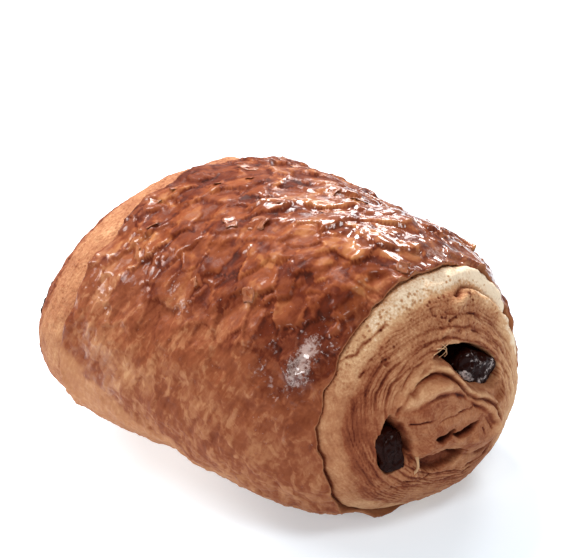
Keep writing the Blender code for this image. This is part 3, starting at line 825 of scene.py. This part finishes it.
def crust_finish():
    material, place, shader = new_material("egg_washed_crust")
    gloss, glazed = place.attribute("gloss"), place.attribute("glazed")
    flaky = place.attribute("flaky")
    drawn = place.stretch(1.0, 0.62, 0.62)
    amber = place.node("TexNoise", Vector=place, Scale=190, Detail=2.5, Distortion=0.35)
    islands = drawn.node("TexNoise", Vector=drawn, Scale=380, Detail=4.0, Distortion=0.9)
    speck = place.grain(900, 4.0)
    fine = place.grain(2600, 3.0)
    tilted = place.node("Mapping", Vector=place, Rotation=(0, -0.42, 0))
    threads = tilted.stretch(1.0, 0.22, 0.22).grain(1500, 3.0)
    bald = amber.step(0.46, 0.60) * (0.35 + flaky * 0.65)
    bald = bald + islands.step(0.50, 0.62) * (0.6 - flaky * 0.4)
    calm = 1 - flaky * 0.75
    tone = place.attribute("brown") - (bald * 0.15 - 0.06) * glazed
    tone = tone + (speck - 0.5) * 0.13 * calm + (threads - 0.5) * 0.18 * calm
    baked = tone.node("ValToRGB", {"stops": BAKED}, Fac=tone)
    cracked = (speck - 0.5) * 3.0 + (fine - 0.5) * 1.6 + (threads - 0.5) * 1.2
    warm = {"data_type": "RGBA", "blend_type": "MULTIPLY"}
    baked = flaky.node("Mix", warm, out=2, i0=flaky, i6=baked, i7=(0.96, 0.84, 0.62, 1))
    # The sheen patches are painted grey-white over the cracked glaze, as a painted reflection of
    # the light.
    veil = (place.attribute("veil") * 1.3 + cracked).step(0.5, 1.6)
    colour = (veil * 0.62).blend(baked, (0.56, 0.42, 0.37, 1))
    height = bald * 0.4 + (speck * 0.4 + fine * 0.2 + threads * 0.4) * (1 - flaky * 0.5)
    shine = (gloss + (islands - 0.5) * 0.7 + (threads - 0.5) * 0.5 * calm).step(0.2, 0.9)
    connect(shader, Base_Color=colour, Roughness=0.56 - shine * 0.24,
            Specular_IOR_Level=0.05, Coat_Weight=0.02 + shine * 0.9, Coat_Roughness=0.09,
            Normal=height.bump(0.5, 0.3 * MM))
    return material


egg_washed_crust = crust_finish()
crust_wrap = make_wrap()
crust_wrap.data.materials.append(egg_washed_crust)
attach(crust_wrap, "root")
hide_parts("dough")


# Loose scales of crust. The outermost layer of glazed dough is thinner than paper, and it has
# cracked into small curled scales that still hang on the wrap by one side.

SCALE_LENGTH = 4.2 * MM
SCALE_WIDTH = 3.2 * MM
SCALE_THICKNESS = 0.10 * MM
SCALE_CURL = 0.30 * MM
SCALE_SINK = 0.20 * MM
SCALE_CELLS = 7, 5
SCALES_PER_AREA = 7000
SCALE_SPIN = 1.3  # radians to each side
SCALE_SIZES = (0.45, 0.5, 0.5), (1.25, 1.3, 1.3)  # smallest and largest, along, across and up
SCALE_SEED = 4


def make_scale():
    """One curled scale: a thin closed plate with a ragged outline, attached at its low side."""
    columns, rows = SCALE_CELLS
    across, under = columns + 1, (columns + 1) * (rows + 1)
    top = []
    for row in range(rows + 1):
        for column in range(across):
            u, v = column / columns - 0.5, row / rows - 0.5
            ragged = 1 + 0.35 * noise.noise(Vector((3 * u, 3 * v, 0.5)))
            taper = 1 - 1.1 * u * u
            bend = SCALE_CURL * ((u + 0.5) ** 2 * 1.6 + 1.2 * v * v) - SCALE_SINK
            top.append(Vector((u * SCALE_LENGTH * ragged, v * SCALE_WIDTH * taper * ragged, bend)))
    points = top + [p - Vector((0, 0, SCALE_THICKNESS)) for p in top]
    corners = [row * across + column for row in range(rows) for column in range(columns)]
    faces = [(a, a + 1, a + across + 1, a + across) for a in corners]
    faces += [tuple(under + i for i in reversed(face)) for face in faces]
    last = under - 1
    rim = [*range(columns), *range(columns, last, across), *range(last, last - columns, -1),
           *range(last - columns, 0, -across)]
    faces += [(b, a, under + a, under + b) for a, b in zip(rim, rim[1:] + rim[:1])]
    return closed_object("scale", points, faces)


def scatter_tree(surface, scale, material):
    """Scales over the upper part of a surface, each turned its own way, as one mesh."""
    tree = bpy.data.node_groups.new("scatter_scales", "GeometryNodeTree")
    for name, way, kind in (("Geometry", "INPUT", "Geometry"), ("Seed", "INPUT", "Int"),
                            ("Geometry", "OUTPUT", "Geometry")):
        tree.interface.new_socket(name, in_out=way, socket_type="NodeSocket" + kind)
    start = Wire(tree)
    seed = start.node("NodeGroupInput", out="Seed")
    whole = start.node("GeometryNodeObjectInfo", out="Geometry", Object=surface)
    flaky = start.node("GeometryNodeInputNamedAttribute", {"data_type": "FLOAT"}, Name="flaky")
    points = start.node("GeometryNodeDistributePointsOnFaces", Mesh=whole,
                        Density=flaky * SCALES_PER_AREA, Seed=seed)
    one = start.node("GeometryNodeObjectInfo", out="Geometry", Object=scale)
    spin = start.node("FunctionNodeRandomValue", {"data_type": "FLOAT"}, out=1,
                      i2=-SCALE_SPIN, i3=SCALE_SPIN)
    about = start.node("FunctionNodeAxisAngleToRotation", Axis=(0, 0, 1), Angle=spin)
    turned = start.node("FunctionNodeRotateRotation", {"rotation_space": "LOCAL"},
                        Rotation=points.beside("Rotation"), Rotate_By=about)
    smallest, largest = SCALE_SIZES
    size = start.node("FunctionNodeRandomValue", {"data_type": "FLOAT_VECTOR"},
                      i0=smallest, i1=largest)
    placed = start.node("GeometryNodeInstanceOnPoints", Points=points, Instance=one,
                        Rotation=turned, Scale=size)
    joined = start.node("GeometryNodeRealizeInstances", Geometry=placed)
    finished = start.node("GeometryNodeSetMaterial", Geometry=joined, Material=material)
    connect(tree.nodes.new("NodeGroupOutput"), Geometry=finished)
    return tree


def scale_finish():
    material, place, shader = new_material("loose_scale")
    patch, speck = place.grain(240, 3.0), place.grain(1200, 3.0)
    tone = 0.58 + (patch - 0.5) * 0.3 + (speck - 0.5) * 0.2
    colour = tone.node("ValToRGB", {"stops": BAKED}, Fac=tone)
    connect(shader, Base_Color=colour, Roughness=0.4 + speck * 0.2, Specular_IOR_Level=0.08,
            Coat_Weight=0.2 + patch * 0.6, Coat_Roughness=0.12, Normal=speck.bump(0.3, 0.2 * MM))
    return material


def make_scales():
    made = bpy.data.objects.new("crust_scales", bpy.data.meshes.new("crust_scales"))
    bpy.context.scene.collection.objects.link(made)
    scale = make_scale()
    modifier = made.modifiers.new("scatter", "NODES")
    modifier.node_group = scatter_tree(crust_wrap, scale, scale_finish())
    seed = next(i for i in modifier.node_group.interface.items_tree if i.name == "Seed")
    modifier[seed.identifier] = SCALE_SEED
    made.update_tag()
    bpy.context.view_layer.update()
    evaluated = made.evaluated_get(bpy.context.evaluated_depsgraph_get())
    mesh = bpy.data.meshes.new_from_object(evaluated)
    made.modifiers.clear()
    made.data = mesh
    bpy.data.objects.remove(scale)
    return made


crust_scales = make_scales()
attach(crust_scales, "root")
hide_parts("dough")


# Fine strings of dough in both hollows. They stretched between the layers as the hollows
# opened in the oven, and dried there, each still held at both its ends.

STRING_SIDES = 7
STRING_FLARE = 0.9  # how much thicker they are next to their ends
# Half thickness at the middle, and the points of each string, in mm.
STRINGS = (
    (0.10, ((52.6, -5.2, 47.4), (53.0, -3.0, 46.8), (52.4, -1.5, 44.9), (51.0, -0.9, 43.2))),
    (0.08, ((52.6, -3.4, 48.0), (52.9, -2.2, 46.5), (52.2, -2.2, 45.0), (51.0, -2.9, 43.6))),
    (0.08, ((52.4, -0.6, 47.4), (52.8, -2.4, 47.2), (52.8, -4.4, 46.6), (52.4, -6.0, 45.9))),
    (0.30, ((53.4, -11.2, 22.4), (53.8, -11.1, 20.4), (53.4, -10.9, 18.9), (52.2, -10.7, 17.2))),
)


def make_strings():
    points, faces = [], []
    for half, path in STRINGS:
        curve = spline(path) + (0, ASIDE, 0)
        along = np.gradient(curve, axis=0)
        along /= np.linalg.norm(along, axis=1, keepdims=True)
        first = len(points)
        for step, (middle, ahead) in enumerate(zip(curve, along)):
            share = step / (len(curve) - 1)
            wide = half * MM * (1 + STRING_FLARE * (2 * share - 1) ** 4) * (0 < share < 1)
            across = Vector(ahead).orthogonal().normalized()
            for side in range(STRING_SIDES):
                turn = 2 * math.pi * side / STRING_SIDES
                out = math.cos(turn) * across + math.sin(turn) * Vector(ahead).cross(across)
                points.append(Vector(middle) + out * wide)
        for ring in range(len(curve) - 1):
            for side in range(STRING_SIDES):
                a = first + ring * STRING_SIDES + side
                b = first + ring * STRING_SIDES + (side + 1) % STRING_SIDES
                faces.append((a, b, b + STRING_SIDES, a + STRING_SIDES))
    return closed_object("dough_strings", points, faces)


def string_finish():
    material, place, shader = new_material("dried_string")
    speck = place.grain(800)
    colour = speck.blend((0.55, 0.33, 0.17, 1), (0.36, 0.17, 0.075, 1))
    connect(shader, Base_Color=colour, Roughness=0.5 + speck * 0.2, Specular_IOR_Level=0.3)
    return material


dough_strings = make_strings()
dough_strings.data.materials.append(string_finish())
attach(dough_strings, "root")
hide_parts("dough")


# The two chocolate sticks, laid in before the dough was rolled up round them.
# They hold their shape in the oven, but their ends soften, dry out and bloom with a dusty,
# broken grey sheen.

STICKS = {
    "chocolate_stick_upper": {
        "front": (52.8, 10.0, 36.5), "rear": (-50.5, 13.5, 36.0),
        "half_width": 6.9, "half_thickness": 4.1, "front_turn": -32, "rear_turn": -24, "dust": 0.55,
    },
    "chocolate_stick_lower": {
        "front": (52.6, -16.6, 24.8), "rear": (-53.6, -32.6, 30.0),
        "half_width": 5.9, "half_thickness": 3.7, "front_turn": 98, "rear_turn": 45, "dust": -0.25,
    },
}
STICK_SIDES = 90
STICK_SQUARENESS = 3.0
STICK_CAP = 2.6 * MM  # how far back the tip's rounding starts
CAP_SQUARENESS = 2.8
TIP_REACH = 7 * MM  # how much further in the rings stay close together
CRACK_DEPTH = 0.45
CRACK_SIZE = 2.2 * MM


def make_stick(name, seed):
    stick = STICKS[name]
    front, rear = np.array(stick["front"]) * MM, np.array(stick["rear"]) * MM
    length = front[0] - rear[0]
    rounding = STICK_CAP * (1 - np.cos(np.linspace(0, math.pi / 2, 30)))
    tip = np.concatenate([rounding, STICK_CAP + np.linspace(0.05, 1, 20) * TIP_REACH])
    middle = np.linspace(tip[-1], length - tip[-1], 14)[1:-1]
    far = np.concatenate([tip, middle, length - tip[::-1]])
    angles = np.linspace(0, 2 * math.pi, STICK_SIDES, endpoint=False)
    cosine, sine = np.cos(angles), np.sin(angles)
    power = 2.0 / STICK_SQUARENESS
    rings = []
    for step in far:
        share = step / length
        centre = rear + share * (front - rear) + (0, ASIDE, 0)
        turn = math.radians(stick["rear_turn"] + share * (stick["front_turn"] - stick["rear_turn"]))
        to_end = min(step, length - step)
        scale = (1 - (1 - min(to_end / STICK_CAP, 1)) ** CAP_SQUARENESS) ** (1 / CAP_SQUARENESS)
        a = scale * stick["half_width"] * MM * np.sign(cosine) * np.abs(cosine) ** power
        b = scale * stick["half_thickness"] * MM * np.sign(sine) * np.abs(sine) ** power
        y = centre[1] + a * math.cos(turn) - b * math.sin(turn)
        z = centre[2] + a * math.sin(turn) + b * math.cos(turn)
        rings.append(np.stack([np.full(STICK_SIDES, centre[0]), y, z], axis=-1))
    grid = np.array(rings)
    normals = grid_normals(grid)
    normals[0], normals[-1] = (-1, 0, 0), (1, 0, 0)
    lumps = 0.8 * rough(grid, 4.0 * MM, seed) + 0.4 * rough(grid, 1.6 * MM, seed + 1) - 0.3
    cracks = np.exp(-((rough(grid, CRACK_SIZE, seed + 2) / 0.09) ** 2))
    grid = grid + normals * (lumps - CRACK_DEPTH * cracks)[..., None] * MM
    dust = stick["dust"] + 1.1 * rough(grid, 3.4 * MM, seed + 3) + 0.6 * lumps
    dust += 0.35 * normals[..., 0] - 0.5 * np.clip(normals[..., 2], 0, 1)
    return skin(name + "_bloomed", grid, {"dust": dust})


def chocolate_finish():
    material, place, shader = new_material("bloomed_chocolate")
    speck = place.grain(1000, 5.0, 0.65)
    crumbs = place.grain(420, 3.0)
    veil = (place.attribute("dust") + (speck - 0.5) * 2.4 + (crumbs - 0.5) * 1.6).step(0.85, 1.5)
    colour = veil.blend((0.014, 0.0022, 0.0009, 1), (0.62, 0.52, 0.49, 1))
    height = speck + place.grain(2600, 3.0) * 0.4
    connect(shader, Base_Color=colour, Roughness=0.45 + veil * 0.3,
            Specular_IOR_Level=0.02, Coat_Weight=0.08 - veil * 0.06, Coat_Roughness=0.08,
            Normal=height.bump(0.8, 0.4 * MM))
    return material


bloomed = chocolate_finish()
for seed, name in enumerate(STICKS):
    stick = make_stick(name, 80 + 10 * seed)
    stick.data.materials.append(bloomed)
    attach(stick, "root")
    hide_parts(name)


# The studio: a pale floor that glows a little as painted light, more on the left, six round
# softboxes and the camera.
# None of it is part of the pastry.

FLOOR_HALF = 3.0
CAMERA_AZIMUTH = 47.39
CAMERA_ELEVATION = 28.5
CAMERA_DISTANCE = 0.55
CAMERA_AIM_HEIGHT = 0.0229
SENSOR_WIDTH = 36.0
FOCAL_PIXELS = 2255
IMAGE_SIZE = 563, 558
PRINCIPAL_POINT = 293.4, 354.8
SOFTBOX_AIM_HEIGHT = 0.03
# Each softbox: name, azimuth, elevation, distance, size, watts.
SOFTBOXES = (
    ("key", 252, 54, 0.9, 0.35, 11),
    ("back", 224, 22, 0.9, 0.26, 1.2),
    ("behind", 203, 36, 0.9, 0.26, 3.0),
    ("left", -60, 40, 1.1, 0.4, 5.6),
    ("fill", 13, 29, 1.1, 0.24, 2.4),
    ("front", 82, 62, 1.2, 0.4, 6.0),
)
SKY = 0.3
FLOOR_GLOW = 0.36, 0.68  # painted light, as glow under the front end and to its right, and stronger on the left to lighten the shadow there
GLOW_TURNS = -0.035, 0.005  # metres to the right of the middle between which it changes


def direction(azimuth, elevation):
    """From the middle out: azimuth 0 is -Y and 90 is +X."""
    a, e = math.radians(azimuth), math.radians(elevation)
    return Vector((math.sin(a) * math.cos(e), -math.cos(a) * math.cos(e), math.sin(e)))


def make_floor():
    mesh = bpy.data.meshes.new("floor")
    h = FLOOR_HALF
    mesh.from_pydata([(-h, -h, 0), (h, -h, 0), (h, h, 0), (-h, h, 0)], [], [(0, 1, 2, 3)])
    floor = bpy.data.objects.new("floor", mesh)
    bpy.context.scene.collection.objects.link(floor)
    material, place, shader = new_material("studio_floor")
    colour = place.grain(40).blend((0.58, 0.64, 0.70, 1), (0.60, 0.66, 0.71, 1))
    turn = math.radians(CAMERA_AZIMUTH)
    right = place.node("VectorMath", {"operation": "DOT_PRODUCT"}, out="Value", i0=place,
                       i1=(math.cos(turn), math.sin(turn), 0))
    low, high = FLOOR_GLOW
    # The glow is painted light: it lightens the floor's shadows, more on the left than under the
    # front end.
    glow = right.step(*GLOW_TURNS).blend((high, high, high, 1), (low, low * 1.03, low * 1.06, 1))
    connect(shader, Base_Color=colour, Roughness=0.9, Specular_IOR_Level=0.1,
            Emission_Color=glow, Emission_Strength=1.0)
    mesh.materials.append(material)


def make_softbox(name, azimuth, elevation, distance, size, watts):
    light = bpy.data.lights.new(name, "AREA")
    light.shape, light.size, light.energy = "DISK", size, watts
    made = bpy.data.objects.new(name, light)
    bpy.context.scene.collection.objects.link(made)
    out = direction(azimuth, elevation)
    made.location = out * distance + Vector((0, 0, SOFTBOX_AIM_HEIGHT))
    made.rotation_euler = (-out).to_track_quat("-Z", "Y").to_euler()


def make_camera():
    back = direction(CAMERA_AZIMUTH, CAMERA_ELEVATION)
    turn = math.radians(CAMERA_AZIMUTH)
    right = Vector((math.cos(turn), math.sin(turn), 0))
    up = back.cross(right)
    camera = bpy.data.cameras.new("camera")
    camera.sensor_width = SENSOR_WIDTH
    camera.lens = FOCAL_PIXELS / IMAGE_SIZE[0] * SENSOR_WIDTH
    made = bpy.data.objects.new("camera", camera)
    bpy.context.scene.collection.objects.link(made)
    made.location = back * CAMERA_DISTANCE + Vector((0, ASIDE, CAMERA_AIM_HEIGHT))
    aside = (IMAGE_SIZE[0] / 2 - PRINCIPAL_POINT[0]) / FOCAL_PIXELS
    above = (PRINCIPAL_POINT[1] - IMAGE_SIZE[1] / 2) / FOCAL_PIXELS
    aim = -back + aside * right + above * up
    made.rotation_euler = aim.to_track_quat("-Z", "Y").to_euler()
    bpy.context.scene.camera = made


make_floor()
for softbox in SOFTBOXES:
    make_softbox(*softbox)
world = bpy.data.worlds.new("studio")
world.use_nodes = True
world.node_tree.nodes["Background"].inputs["Color"].default_value = (1, 1, 1, 1)
world.node_tree.nodes["Background"].inputs["Strength"].default_value = SKY
bpy.context.scene.world = world
bpy.context.scene.view_settings.view_transform = "Standard"
make_camera()
